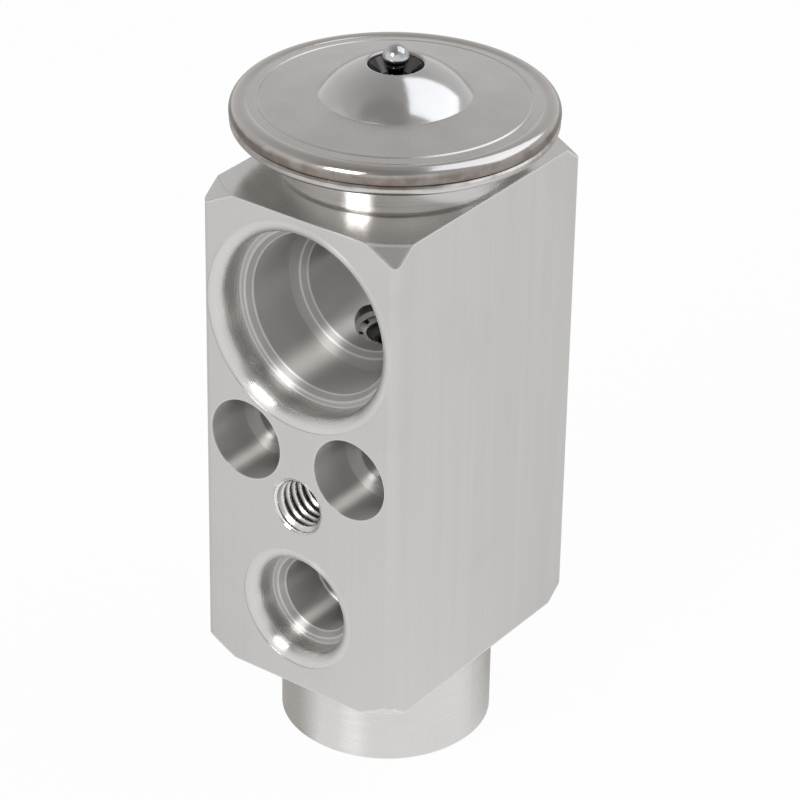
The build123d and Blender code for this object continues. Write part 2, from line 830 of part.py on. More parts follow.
pieces = {
    "valve_body": valve_body,
    "head_base": head_base,
    "head_seal": head_seal,
    "thrust_pad": thrust_pad,
    "diaphragm": diaphragm,
    "head_cap": head_cap,
    "charge_plug": charge_plug,
    "actuating_rod": actuating_rod,
    "rod_seal": rod_seal,
    "seal_retainer": seal_retainer,
    "valve_ball": valve_ball,
    "ball_carrier": ball_carrier,
    "damping_clip": damping_clip,
    "superheat_spring": superheat_spring,
    "adjusting_screw": adjusting_screw,
    "adjuster_seal": adjuster_seal,
}

os.makedirs("parts", exist_ok=True)
for name, piece in pieces.items():
    piece.part.label = name
    export_step(piece.part, f"parts/{name}.step")
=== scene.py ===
from types import SimpleNamespace
import bmesh
import bpy
import numpy as np
from mathutils import Matrix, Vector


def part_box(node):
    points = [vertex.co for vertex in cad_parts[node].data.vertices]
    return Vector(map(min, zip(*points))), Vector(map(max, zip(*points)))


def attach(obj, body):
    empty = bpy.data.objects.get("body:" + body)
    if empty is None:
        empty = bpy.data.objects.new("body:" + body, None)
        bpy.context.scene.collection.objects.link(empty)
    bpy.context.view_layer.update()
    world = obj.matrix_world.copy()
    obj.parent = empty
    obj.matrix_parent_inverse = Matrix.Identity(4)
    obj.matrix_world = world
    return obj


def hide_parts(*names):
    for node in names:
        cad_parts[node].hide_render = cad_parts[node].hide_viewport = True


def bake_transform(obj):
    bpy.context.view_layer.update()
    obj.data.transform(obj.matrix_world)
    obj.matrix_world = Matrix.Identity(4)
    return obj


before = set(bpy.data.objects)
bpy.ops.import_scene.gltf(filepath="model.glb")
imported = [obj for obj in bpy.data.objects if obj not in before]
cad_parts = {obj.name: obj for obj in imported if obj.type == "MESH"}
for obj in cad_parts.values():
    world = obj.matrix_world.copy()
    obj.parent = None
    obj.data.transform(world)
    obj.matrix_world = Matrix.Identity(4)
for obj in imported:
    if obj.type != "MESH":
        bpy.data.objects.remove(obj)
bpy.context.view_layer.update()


# Camera
# The valve is seen from its front right and thirty degrees above, through a long
# lens some 37 cm away, so that the block's upright edges stay nearly parallel.
mm = 0.001
azimuth, elevation, roll = np.radians([36.022, 30.041, 1.014])
camera_distance = 366.417 * mm
aim_height = 37.779 * mm
aim_shift = 0.991 * mm
focal_pixels = 3538.2
picture_pixels = 800
film_width = 36.0

towards_camera = np.array([
    np.sin(azimuth) * np.cos(elevation),
    -np.cos(azimuth) * np.cos(elevation),
    np.sin(elevation),
])
level_right = np.array([np.cos(azimuth), np.sin(azimuth), 0.0])
level_up = np.cross(towards_camera, level_right)
camera_right = np.cos(roll) * level_right + np.sin(roll) * level_up
camera_up = -np.sin(roll) * level_right + np.cos(roll) * level_up
camera_place = aim_shift * level_right + [0, 0, aim_height] + camera_distance * towards_camera

camera_data = bpy.data.cameras.new("photo_camera")
camera_data.sensor_width = film_width
camera_data.lens = focal_pixels / picture_pixels * film_width
camera_data.clip_start = 10 * mm
camera = bpy.data.objects.new("photo_camera", camera_data)
bpy.context.scene.collection.objects.link(camera)
camera_matrix = np.eye(4)
camera_matrix[:3, 0] = camera_right
camera_matrix[:3, 1] = camera_up
camera_matrix[:3, 2] = towards_camera
camera_matrix[:3, 3] = camera_place
camera.matrix_world = Matrix(camera_matrix.tolist())
bpy.context.scene.camera = camera


# Studio
# A pale table top that runs out to white, a pale tent around it that is greyer
# overhead, with a soft lamp in front of the valve and a broad cool one behind it.
def node(tree, kind, inputs=(), **settings):
    """A shader node with its settings; inputs maps a socket to a number or an output."""
    made = tree.nodes.new("ShaderNode" + kind)
    for name, value in settings.items():
        setattr(made, name, value)
    for socket, value in dict(inputs).items():
        if isinstance(value, bpy.types.NodeSocket):
            tree.links.new(value, made.inputs[socket])
        else:
            made.inputs[socket].default_value = value
    return made


def math(tree, operation, *terms, clamp=False):
    """The output of a Math node; each term is a number or another node's output."""
    made = node(tree, "Math", enumerate(terms), operation=operation, use_clamp=clamp)
    return made.outputs[0]


def product(tree, first, *others):
    """The product of masks or numbers."""
    for other in others:
        first = math(tree, "MULTIPLY", first, other)
    return first


def vector(tree, operation, *terms):
    """The vector output of a Vector Math node, or its number where it gives one."""
    made = node(tree, "VectorMath", enumerate(terms), operation=operation)
    return made.outputs[1 if operation in {"DOT_PRODUCT", "LENGTH", "DISTANCE"} else 0]


def part_of(tree, value, axis):
    """The number that a vector has along one axis."""
    return node(tree, "SeparateXYZ", {0: value}).outputs[axis]


def remap(tree, value, low, high, new_low=0.0, new_high=1.0, easing="LINEAR"):
    """The value's range low to high taken to a new range, and held within it."""
    ends = {0: value, 1: low, 2: high, 3: new_low, 4: new_high}
    return node(tree, "MapRange", ends, interpolation_type=easing).outputs[0]


def ramp(tree, factor, *stops):
    """The colour of a Color Ramp with (position, grey or colour) stops."""
    made = node(tree, "ValToRGB", {0: factor})
    while len(made.color_ramp.elements) < len(stops):
        made.color_ramp.elements.new(1.0)
    for element, (position, colour) in zip(made.color_ramp.elements, stops):
        element.position = position
        element.color = (*colour, 1) if isinstance(colour, tuple) else (colour, colour, colour, 1)
    return made.outputs[0]


def mix(tree, factor, first, second, kind="RGBA"):
    """The output of a Mix node between two colours, or two vectors or numbers by kind."""
    first_slot, second_slot, output = {"RGBA": (6, 7, 2), "VECTOR": (4, 5, 1), "FLOAT": (2, 3, 0)}[kind]
    made = tree.nodes.new("ShaderNodeMix")
    made.data_type = kind
    for socket, value in ((0, factor), (first_slot, first), (second_slot, second)):
        if isinstance(value, bpy.types.NodeSocket):
            tree.links.new(value, made.inputs[socket])
        elif isinstance(value, tuple) and kind == "RGBA":
            made.inputs[socket].default_value = (*value, 1)
        else:
            made.inputs[socket].default_value = value
    return made.outputs[output]


def seen_directly(tree):
    """1 for rays from the camera and for mirror and glass rays, 0 for soft light."""
    path = node(tree, "LightPath")
    straight = math(tree, "ADD", path.outputs["Is Camera Ray"], path.outputs["Is Glossy Ray"])
    return math(tree, "ADD", straight, path.outputs["Is Transmission Ray"], clamp=True)


def new_mesh_object(name, points, faces, smooth=True):
    """An object with these corner points in metres and these faces, linked to the scene.

    smooth is one value for all faces, or an array with a value for each.
    """
    mesh = bpy.data.meshes.new(name)
    mesh.from_pydata(np.asarray(points, float), [], faces)
    mesh.polygons.foreach_set("use_smooth", np.full(len(mesh.polygons), smooth))
    mesh.update()
    made = bpy.data.objects.new(name, mesh)
    bpy.context.scene.collection.objects.link(made)
    return made


white = (1.0, 1.0, 1.0)
table_half = 3.0
table_drop = 0.02 * mm
table_colour = (0.92, 0.92, 0.92, 1)
table_corners = [(-1, -1), (1, -1), (1, 1), (-1, 1)]
table_places = [(table_half * x, table_half * y, -table_drop) for x, y in table_corners]
floor = new_mesh_object("floor", table_places, [(0, 1, 2, 3)])
floor_material = bpy.data.materials.new("table_top")
floor_material.use_nodes = True
tree = floor_material.node_tree
tree.nodes.clear()
matt = node(tree, "BsdfDiffuse", {"Color": table_colour})

# The camera sees the table glow white, and bright metal sees it grey on the shaded side
glow_centre = (0.0, -10 * mm, 0.0)
lit_direction = (0.707, -0.707, 0.0)
shaded_glow = (0.44, 0.425, 0.405)
mirrored_share, camera_share = 0.8, 0.15
seen = node(tree, "LightPath").outputs["Is Camera Ray"]
outward = vector(tree, "SUBTRACT", node(tree, "TexCoord").outputs["Object"], glow_centre)
outward = vector(tree, "NORMALIZE", outward)
lit_side = remap(tree, vector(tree, "DOT_PRODUCT", outward, lit_direction), -0.5, 0.15)
dimmed = ramp(tree, lit_side, (0.0, shaded_glow), (1.0, 1.0))
glow = node(tree, "Emission", {"Color": mix(tree, seen, dimmed, white), "Strength": 1.0})
mirrored = math(tree, "MULTIPLY", seen_directly(tree), mirrored_share)
share = math(tree, "MULTIPLY_ADD", seen, camera_share, mirrored)
floor_mix = node(tree, "MixShader", {0: share, 1: matt.outputs[0], 2: glow.outputs[0]})
node(tree, "OutputMaterial", {"Surface": floor_mix.outputs[0]})
floor.data.materials.append(floor_material)

# The tent: walls that darken with height, a paler front wall and a dark opening above it
wall_greys = ((0.0, 0.80), (0.25, 0.66), (0.5, 0.60), (0.85, 0.45), (1.0, 0.38))
front_direction, front_colour = (0.1, -0.995, 0.0), (0.92, 0.91, 0.90)
opening_direction, opening_colour = (0.113, -0.533, 0.839), (0.31, 0.30, 0.29)
world = bpy.data.worlds.new("tent")
bpy.context.scene.world = world
world.use_nodes = True
tree = world.node_tree
tree.nodes.clear()
direction = node(tree, "TexCoord").outputs["Generated"]
height = part_of(tree, direction, "Z")
walls = ramp(tree, height, *wall_greys)
frontness = vector(tree, "DOT_PRODUCT", direction, front_direction)
front_wall = remap(tree, frontness, 0.0, 0.7, easing="SMOOTHSTEP")
below_opening = remap(tree, height, 0.45, 0.68, 1.0, 0.0, easing="SMOOTHSTEP")
walls = mix(tree, product(tree, front_wall, below_opening), walls, front_colour)
opening = vector(tree, "DOT_PRODUCT", direction, opening_direction)
opening = remap(tree, opening, 0.80, 0.97, easing="SMOOTHSTEP")
walls = mix(tree, opening, walls, opening_colour)
seen = node(tree, "LightPath").outputs["Is Camera Ray"]
tent = node(tree, "Background", {"Color": mix(tree, seen, walls, white), "Strength": 1.0})
node(tree, "OutputWorld", {"Surface": tent.outputs[0]})


def soft_lamp(name, place, size, power, colour):
    """A square area lamp at a place in metres that faces the middle of the valve."""
    data = bpy.data.lights.new(name, "AREA")
    data.size = size
    data.energy = power
    data.color = colour
    lamp = bpy.data.objects.new(name, data)
    back = np.array(place, float) - [0, 0, aim_height]
    back /= np.linalg.norm(back)
    side = np.cross([0.0, 0.0, 1.0], back)
    side /= np.linalg.norm(side)
    turn = np.eye(4)
    turn[:3, 0] = side
    turn[:3, 1] = np.cross(back, side)
    turn[:3, 2] = back
    turn[:3, 3] = place
    lamp.matrix_world = Matrix(turn.tolist())
    bpy.context.scene.collection.objects.link(lamp)
    lamp.visible_camera = False


soft_lamp("front_lamp", place=(0.0, -0.64, 0.50), size=0.26, power=2.1, colour=white)
soft_lamp("back_lamp", place=(0.342, 0.380, 0.717), size=0.8, power=2.2, colour=(0.90, 0.94, 1.0))
bpy.context.scene.view_settings.view_transform = "Standard"


# Valve body
# One piece of aluminium: a length of extruded bar with drawn sides, faced and
# cornered on a lathe at both ends, then bored, stepped and threaded.
def new_material(name, slot_node=None):
    """A material with an empty tree but for its Principled shader, given to a CAD node."""
    material = bpy.data.materials.new(name)
    material.use_nodes = True
    made_tree = material.node_tree
    made_tree.nodes.clear()
    principled = made_tree.nodes.new("ShaderNodeBsdfPrincipled")
    node(made_tree, "OutputMaterial", {"Surface": principled.outputs[0]})
    if slot_node:
        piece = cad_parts[slot_node]
        piece.data.materials.clear()
        piece.data.materials.append(material)
    return material, made_tree, principled


def new_group(name, inputs, outputs):
    """An empty shader node group whose sockets are given as name and type."""
    group = bpy.data.node_groups.new(name, "ShaderNodeTree")
    for side, sockets in (("INPUT", inputs), ("OUTPUT", outputs)):
        for socket, kind in sockets.items():
            group.interface.new_socket(name=socket, in_out=side, socket_type="NodeSocket" + kind)
    given = group.nodes.new("NodeGroupInput").outputs
    return group, given, group.nodes.new("NodeGroupOutput").inputs


def effect(tree, group, **inputs):
    """The outputs of a shared effect's node group, whose inputs are given by name."""
    return node(tree, "Group", inputs, node_tree=group).outputs


def noise(tree, place, scale, detail=2.0, dimensions="3D"):
    """The value of a noise texture at a place in millimetres, or at a number in 1D."""
    slot = {"3D": "Vector", "1D": "W"}[dimensions]
    inputs = {slot: place, "Scale": scale, "Detail": detail}
    return node(tree, "TexNoise", inputs, noise_dimensions=dimensions).outputs[0]


def spread(tree, value, new_low=0.0, new_high=1.0):
    """The range that a noise mostly stays in, 0.3 to 0.7, taken to a new range."""
    return remap(tree, value, 0.3, 0.7, new_low, new_high)


def surface_place(tree):
    """The object's own coordinates in millimetres."""
    coordinates = node(tree, "TexCoord").outputs["Object"]
    return vector(tree, "MULTIPLY", coordinates, (1000, 1000, 1000))


def from_axis(tree, place):
    """The distance of a place from the valve's axis."""
    return vector(tree, "LENGTH", vector(tree, "MULTIPLY", place, (1, 1, 0)))


def scaled(tree, place, size):
    """A place divided by a size."""
    return vector(tree, "DIVIDE", place, node(tree, "CombineXYZ", {0: size, 1: size, 2: size}).outputs[0])


def lay_over(tree, under, colour, mask, share):
    """A colour laid over another by a share of a mask."""
    return mix(tree, math(tree, "MULTIPLY", mask, share), under, colour)


def bump(tree, height, depth, shader):
    """Feeds the shader's normal with a relief whose height of 1 is this many millimetres."""
    relief = node(tree, "Bump", {"Height": height, "Distance": depth * mm, "Strength": 1.0})
    tree.links.new(relief.outputs[0], shader.inputs["Normal"])


def streak(tree, metal, groove, amount):
    """Stretches the light on a metal across its fine grooves, whose direction is given."""
    tree.links.new(groove, metal.inputs["Tangent"])
    metal.inputs["Anisotropic"].default_value = amount
    metal.inputs["Anisotropic Rotation"].default_value = 0.25


def finish_metal(tree, metal, colour, roughness):
    """Joins a colour and a roughness to a metal's shader."""
    tree.links.new(colour, metal.inputs["Base Color"])
    tree.links.new(roughness, metal.inputs["Roughness"])
    metal.inputs["Metallic"].default_value = 1.0


# Marks of a cutting tool: lines of uneven strength across the way that the tool went
tool_marks, given, result = new_group(
    "tool_marks", {"Feed": "Float", "Spacing": "Float"}, {"Height": "Float", "Shade": "Float"}
)
count = math(tool_marks, "DIVIDE", given["Feed"], given["Spacing"])
fine = noise(tool_marks, count, 1.0, 3.0, "1D")
broad = noise(tool_marks, math(tool_marks, "MULTIPLY", count, 0.11), 1.0, 1.0, "1D")
tool_marks.links.new(fine, result["Height"])
broad = remap(tool_marks, broad, 0.35, 0.65)
tool_marks.links.new(mix(tool_marks, 0.45, spread(tool_marks, fine), broad, "FLOAT"), result["Shade"])

# Lines that a die leaves along an extruded bar
drawn_lines, given, result = new_group(
    "drawn_lines", {"Place": "Vector", "Spacing": "Float"}, {"Height": "Float", "Shade": "Float"}
)
stretched = vector(drawn_lines, "MULTIPLY", given["Place"], (1, 1, 0.012))
stretched = scaled(drawn_lines, stretched, given["Spacing"])
fine = noise(drawn_lines, stretched, 1.0, 2.0)
broad = noise(drawn_lines, vector(drawn_lines, "MULTIPLY", stretched, (0.12, 0.12, 0.3)), 1.0, 2.0)
drawn_lines.links.new(fine, result["Height"])
broad = remap(drawn_lines, broad, 0.35, 0.65)
drawn_lines.links.new(mix(drawn_lines, 0.5, spread(drawn_lines, fine), broad, "FLOAT"), result["Shade"])

# Cloudy stains with soft edges
stains, given, result = new_group(
    "stains", {"Place": "Vector", "Size": "Float", "Share": "Float"}, {"Mask": "Float"}
)
stain_fade = 0.18
cloud = noise(stains, scaled(stains, given["Place"], given["Size"]), 1.0, 4.0)
low = remap(stains, given["Share"], 0.0, 1.0, 0.75, 0.25)
high = math(stains, "ADD", low, stain_fade)
stains.links.new(remap(stains, cloud, low, high, easing="SMOOTHSTEP"), result["Mask"])

# Fine scratches from handling, in three directions
scratches, given, result = new_group(
    "scratches", {"Place": "Vector", "Length": "Float", "Share": "Float"}, {"Mask": "Float"}
)
scratch_turns = ((0.4, 0.9, 0.2), (1.3, -0.5, 0.8), (-0.7, 0.3, 1.9))
length_to_width = 32.0
total = 0.0
for turn in scratch_turns:
    turned = {"Vector": given["Place"], "Rotation": turn}
    turned = node(scratches, "VectorRotate", turned, rotation_type="EULER_XYZ").outputs[0]
    across = vector(scratches, "MULTIPLY", turned, (1.0, length_to_width, length_to_width))
    line = noise(scratches, scaled(scratches, across, given["Length"]), 1.0, 1.0)
    total = math(scratches, "MAXIMUM", total, remap(scratches, line, 0.70, 0.76))
scratches.links.new(product(scratches, total, given["Share"]), result["Mask"])

# The block in millimetres; its corners are turned off at 45 degrees from corner_radius
# on the end faces
block_half_width = 12.0
block_half_depth = 15.75
block_low, block_high = 10.7, 65.1
corner_radius = 17.75
suction_z, bolt_z, stud_z, outlet_z, inlet_z = 52.97, 38.0, 32.45, 30.8, 20.06
bolt_x = 6.55

# Each port and screw hole: its axis, its widest radius, the side that it opens to or 0
# for both, the depth of its lip, and the radius and depth of every edge in it
holes = (
    (0.0, suction_z, 11.45, 0, 3.3, ((9.9, 3.4), (9.3, 3.4), (8.7, 4.0), (7.3, 9.8), (6.7, 10.4))),
    (0.0, inlet_z, 7.0, -1, 2.85, ((5.4, 2.95), (4.8, 2.95), (4.2, 3.55), (4.1, 8.7), (3.5, 9.3))),
    (0.0, outlet_z, 7.0, 1, 2.85, ((5.4, 2.95), (4.8, 2.95), (4.2, 3.55), (4.1, 9.8), (3.5, 10.4))),
    (-bolt_x, bolt_z, 4.45, 0, 0.0, ((4.4, 0.0), (2.75, 0.0))),
    (bolt_x, bolt_z, 4.45, 0, 0.0, ((4.4, 0.0), (2.75, 0.0))),
)

material, tree, metal = new_material("machined_aluminium", "valve_body")
place = surface_place(tree)
facing = node(tree, "TexCoord").outputs["Normal"]
x, y, z = node(tree, "SeparateXYZ", {0: place}).outputs
out_x = math(tree, "ABSOLUTE", x)
out_y = math(tree, "ABSOLUTE", y)
upright = math(tree, "ABSOLUTE", part_of(tree, facing, "Z"))
axis_radius = from_axis(tree, place)
face_depth = math(tree, "SUBTRACT", block_half_depth, out_y)

# The lathe leaves rings about the valve's axis on the ends, the corners and the boss,
# and the die leaves upright lines on the four sides
side_skin = 0.95
wall_tilt = 0.3
groove = vector(tree, "CROSS_PRODUCT", (0, 0, 1), place)
feed = math(tree, "ADD", axis_radius, z)
wide = math(tree, "GREATER_THAN", out_x, block_half_width - side_skin)
deep = math(tree, "GREATER_THAN", out_y, block_half_depth - side_skin)
outside = math(tree, "MAXIMUM", wide, deep)
side = product(tree, outside, math(tree, "LESS_THAN", upright, wall_tilt))
drawn = product(tree, side, math(tree, "GREATER_THAN", z, block_low))
groove = mix(tree, drawn, groove, (0.0, 0.0, 1.0), "VECTOR")

# Each port and screw hole is bored about its own axis; past each lip the bore gets painted shade,
# which deepens with depth in the two liquid ports, and the edges of the steps and chamfers get a painted
# highlight
face_skin = 0.01
lip_fade = 0.2
shade_start, shade_end = 4.0, 9.0
step_edge, step_edge_fade = 0.05, 0.17
bored = 0.0
inner = 0.0
painted_depth_shade = 0.0
edge_highlight = 0.0
for centre_x, centre_z, reach, opens_to, lip_depth, edges in holes:
    offset = vector(tree, "SUBTRACT", place, (centre_x, 0, centre_z))
    offset = vector(tree, "MULTIPLY", offset, (1, 0, 1))
    radius = vector(tree, "LENGTH", offset)
    within = math(tree, "LESS_THAN", radius, reach)
    within = product(tree, within, math(tree, "GREATER_THAN", face_depth, face_skin))
    if opens_to:
        this_side = math(tree, "GREATER_THAN", math(tree, "MULTIPLY", y, opens_to), 1.0)
        within = product(tree, within, this_side)
        deeper_shade = product(tree, within, remap(tree, face_depth, shade_start, shade_end))
        painted_depth_shade = math(tree, "MAXIMUM", painted_depth_shade, deeper_shade)
    groove = mix(tree, within, groove, vector(tree, "CROSS_PRODUCT", (0, 1, 0), offset), "VECTOR")
    feed = mix(tree, within, feed, math(tree, "ADD", radius, face_depth), "FLOAT")
    bored = math(tree, "MAXIMUM", bored, within)
    past_lip = product(tree, within, remap(tree, face_depth, lip_depth, lip_depth + lip_fade))
    inner = math(tree, "MAXIMUM", inner, past_lip)
    section_place = node(tree, "CombineXYZ", {0: radius, 1: face_depth}).outputs[0]
    for edge_radius, edge_depth in edges:
        at_edge = vector(tree, "DISTANCE", section_place, (edge_radius, edge_depth, 0))
        at_edge = remap(tree, at_edge, step_edge, step_edge_fade, 1.0, 0.0)
        if opens_to:
            at_edge = product(tree, at_edge, this_side)
        edge_highlight = math(tree, "MAXIMUM", edge_highlight, at_edge)
drawn = product(tree, drawn, math(tree, "SUBTRACT", 1.0, bored))

# Sharp outer edges get a painted highlight too: a place is on one where its distances to the
# two surfaces that meet there add up to nearly nothing
outer_edge, outer_edge_fade = 0.05, 0.22
cosine_of_45 = 0.7071
to_side = math(tree, "SUBTRACT", block_half_width, out_x)
to_top = math(tree, "SUBTRACT", block_high, z)
to_end = math(tree, "MINIMUM", to_top, math(tree, "SUBTRACT", z, block_low))
to_cone = math(tree, "SUBTRACT", math(tree, "ADD", to_end, corner_radius), axis_radius)
to_cone = math(tree, "MULTIPLY", to_cone, cosine_of_45)
edge = math(tree, "ADD", to_side, to_end)
for first, second in ((to_side, to_cone), (face_depth, to_end), (face_depth, to_cone), (to_end, to_cone)):
    edge = math(tree, "MINIMUM", edge, math(tree, "ADD", first, second))
outer_edge_highlight = remap(tree, math(tree, "ABSOLUTE", edge), outer_edge, outer_edge_fade, 1.0, 0.0)
edge_highlight = math(tree, "MAXIMUM", outer_edge_highlight, edge_highlight)

marks = effect(tree, tool_marks, Feed=feed, Spacing=0.16)
lines = effect(tree, drawn_lines, Place=place, Spacing=0.3)
shade = mix(tree, drawn, marks["Shade"], lines["Shade"], "FLOAT")
height = mix(tree, drawn, marks["Height"], lines["Height"], "FLOAT")
cloud = effect(tree, stains, Place=place, Size=9.0, Share=0.45)["Mask"]
scratch = effect(tree, scratches, Place=place, Length=5.0, Share=0.5)["Mask"]

plain = mix(tree, shade, (0.702, 0.688, 0.669), (0.757, 0.746, 0.730))
plain = lay_over(tree, plain, (0.66, 0.64, 0.62), cloud, share=0.25)
# Bored metal is a little darker; past each lip it gets painted shade, deepening with depth in the liquid
# ports
plain = mix(tree, bored, plain, vector(tree, "MULTIPLY", plain, (0.93, 0.93, 0.93)))
plain = lay_over(tree, plain, (0.53, 0.515, 0.495), inner, share=0.8)
plain = lay_over(tree, plain, (0.27, 0.26, 0.245), painted_depth_shade, share=0.7)
plain = lay_over(tree, plain, (0.80, 0.80, 0.80), scratch, share=0.4)
# Painted highlight on the edges of the steps, the chamfers and the block's outer edges
plain = mix(tree, edge_highlight, plain, (0.88, 0.88, 0.88))

# The faced top is the brightest surface, and the drawn sides and the bores are satin
top_skin = 0.02
turned_rough, drawn_rough, top_rough, inner_rough, edge_rough = 0.24, 0.38, 0.15, 0.46, 0.47
shade_rough = 0.06
on_top = math(tree, "GREATER_THAN", z, block_high - top_skin)
rough = turned_rough
for region, region_rough in (
    (drawn, drawn_rough), (on_top, top_rough), (inner, inner_rough), (edge_highlight, edge_rough)
):
    rough = mix(tree, region, rough, region_rough, "FLOAT")
rough = math(tree, "MULTIPLY_ADD", shade, shade_rough, rough)
finish_metal(tree, metal, plain, rough)
streak(tree, metal, groove, 1.0)
bump(tree, height, 0.0012, metal)


# Threads of the block
# The stud hole is tapped M6 and the boss M14 with a fine pitch. Both are cut into the
# block's own metal, so each is a sleeve of ridges that stands on the wall of its hole.
thread_pitch = 1.0
wave_peak, wave_slope = 1.25, 2.9


def thread(name, base, tip, depth, chamfer, to_place, shift=0.0, columns=96, rows_per_pitch=16):
    """The ridges of a right-hand thread as a closed sleeve of grid faces.

    At turn angle a and depth d the radius goes from base towards tip as a flattened
    triangle wave of (d / pitch - a / turn + shift), and fades out as a cone at both
    ends; the sleeve's hidden side lies a hair behind base. to_place takes (across,
    across, depth) to the model's millimetres.
    """
    hair = 0.01
    rows = int(depth / thread_pitch * rows_per_pitch) + 1
    angle = np.linspace(0, 2 * np.pi, columns, endpoint=False)[None, :]
    d = np.linspace(0, depth, rows)[:, None]
    phase = (d / thread_pitch - angle / (2 * np.pi) + shift) % 1.0
    wave = np.clip(wave_peak - wave_slope * np.abs(phase - 0.5), 0, 1)
    fade = np.clip(np.minimum(d, depth - d) / chamfer, 0, 1)
    ridge = base + (tip - base) * np.minimum(wave, fade)
    hidden = np.full_like(ridge, base + hair * np.sign(base - tip))
    across = np.concatenate([ridge, hidden[::-1]])
    along = np.concatenate([np.broadcast_to(d, ridge.shape), np.broadcast_to(d[::-1], ridge.shape)])
    points = np.stack([across * np.cos(angle), across * np.sin(angle), along], axis=-1)
    ring, column = np.meshgrid(np.arange(2 * rows), np.arange(columns), indexing="ij")
    next_ring, next_column = (ring + 1) % (2 * rows), (column + 1) % columns
    corners = [(ring, column), (ring, next_column), (next_ring, next_column), (next_ring, column)]
    faces = np.stack([r * columns + c for r, c in corners], axis=-1).reshape(-1, 4)
    made = new_mesh_object(name, to_place(points.reshape(-1, 3)) * mm, faces.tolist())
    turn_outwards(made)
    return made


def turn_outwards(piece):
    """Turns the faces of a closed piece outwards."""
    shape = bmesh.new()
    shape.from_mesh(piece.data)
    bmesh.ops.recalc_face_normals(shape, faces=shape.faces)
    shape.to_mesh(piece.data)
    shape.free()


stud_root, stud_crest, stud_start, stud_depth = 2.99, 2.5, 0.08, 9.4
boss_root, boss_crest, boss_thread_low, boss_thread_depth = 6.99, 6.5, 0.6, 7.0


def in_stud_hole(p):
    """Across and depth of the stud hole to the model's places."""
    return np.stack([p[:, 0], -block_half_depth + stud_start + p[:, 2], stud_z - p[:, 1]], axis=-1)


def in_boss(p):
    """Across and height above the thread's low end to the model's places."""
    return p + [0, 0, boss_thread_low]


stud_thread = thread(
    "stud_hole_thread", stud_root, stud_crest, stud_depth, chamfer=0.45, to_place=in_stud_hole
)
boss_thread = thread(
    "boss_thread", boss_root, boss_crest, boss_thread_depth, chamfer=0.4, to_place=in_boss
)

# Bright crests over painted shade in the roots; the stud hole's mouth has no painted shade down to its first
# turn
material, tree, metal = new_material("tapped_aluminium")
place = surface_place(tree)
past_crest, before_root = 0.08, 0.12
mouth_bright, mouth_fade = 0.35, 0.95
from_stud = vector(tree, "MULTIPLY", vector(tree, "SUBTRACT", place, (0, 0, stud_z)), (1, 0, 1))
from_stud = vector(tree, "LENGTH", from_stud)
stud_root_shade = remap(tree, from_stud, stud_crest + past_crest, stud_root - before_root)
boss_root_shade = remap(tree, from_axis(tree, place), boss_crest + past_crest, boss_root - before_root)
is_boss = math(tree, "LESS_THAN", part_of(tree, place, "Z"), block_low)
root_shade = mix(tree, is_boss, stud_root_shade, boss_root_shade, "FLOAT")
from_mouth = math(tree, "ADD", part_of(tree, place, "Y"), block_half_depth)
root_shade = product(tree, root_shade, remap(tree, from_mouth, mouth_bright, mouth_fade))
speck = noise(tree, place, 3.0, 3.0)
plain = mix(tree, math(tree, "MULTIPLY", speck, 0.3), (0.84, 0.83, 0.82), (0.55, 0.53, 0.50))
# Painted shade in the roots of the thread
plain = mix(tree, root_shade, plain, (0.05, 0.045, 0.04))
finish_metal(tree, metal, plain, spread(tree, speck, 0.18, 0.34))
for piece in (stud_thread, boss_thread):
    piece.data.materials.append(material)
    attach(piece, "valve_block")


# Adjusting screw
# A turned brass screw that sets the spring: a fine thread and a hexagon socket at its
# low end, and a head with a seal groove and a spring cup that slides in the chamber.
def turned_finish(name, slot_node, dark, light, spacing, smooth, dull, relief=0.0008, sheen=0.6):
    """A metal turned about the valve's axis: rings of tool marks between two colours.

    The rings count off radius plus height, so that they lie on ends and walls alike.
    Gives the material's parts, with the colour and roughness not yet joined.
    """
    material, tree, metal = new_material(name, slot_node)
    place = surface_place(tree)
    radius = from_axis(tree, place)
    height = part_of(tree, place, "Z")
    marks = effect(tree, tool_marks, Feed=math(tree, "ADD", radius, height), Spacing=spacing)
    streak(tree, metal, vector(tree, "CROSS_PRODUCT", (0, 0, 1), place), sheen)
    bump(tree, marks["Height"], relief, metal)
    return SimpleNamespace(
        material=material, tree=tree, metal=metal, place=place, radius=radius, height=height,
        colour=mix(tree, marks["Shade"], dark, light),
        roughness=remap(tree, marks["Shade"], 0.0, 1.0, smooth, dull),
    )


def tarnish(finish, size, share, colour, dulling=0.12):
    """Lays cloudy tarnish of a colour over a turned finish, and dulls it there."""
    tree = finish.tree
    cloud = effect(tree, stains, Place=finish.place, Size=size, Share=share)["Mask"]
    finish.colour = lay_over(tree, finish.colour, colour, cloud, share=0.6)
    finish.roughness = math(tree, "MULTIPLY_ADD", cloud, dulling, finish.roughness)


def join_finish(finish):
    """Joins a turned finish's colour and roughness to its shader."""
    finish_metal(finish.tree, finish.metal, finish.colour, finish.roughness)


brass = turned_finish(
    "turned_brass_screw", "adjusting_screw", dark=(0.66, 0.50, 0.26), light=(0.80, 0.65, 0.38),
    spacing=0.14, smooth=0.20, dull=0.34,
)
tarnish(brass, size=3.0, share=0.45, colour=(0.50, 0.34, 0.17))
join_finish(brass)

screw_core, screw_crest, screw_thread_low, screw_thread_depth = 6.45, 6.93, 1.95, 4.3
mesh_with_boss = 0.5 + (screw_thread_low - boss_thread_low) / thread_pitch


def on_screw(p):
    """Across and height above the screw thread's low end to the model's places."""
    return p + [0, 0, screw_thread_low]


screw_thread = thread(
    "adjusting_screw_thread", screw_core, screw_crest, screw_thread_depth,
    chamfer=0.35, to_place=on_screw, shift=mesh_with_boss,
)
screw_thread.data.materials.append(brass.material)
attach(screw_thread, "adjuster")


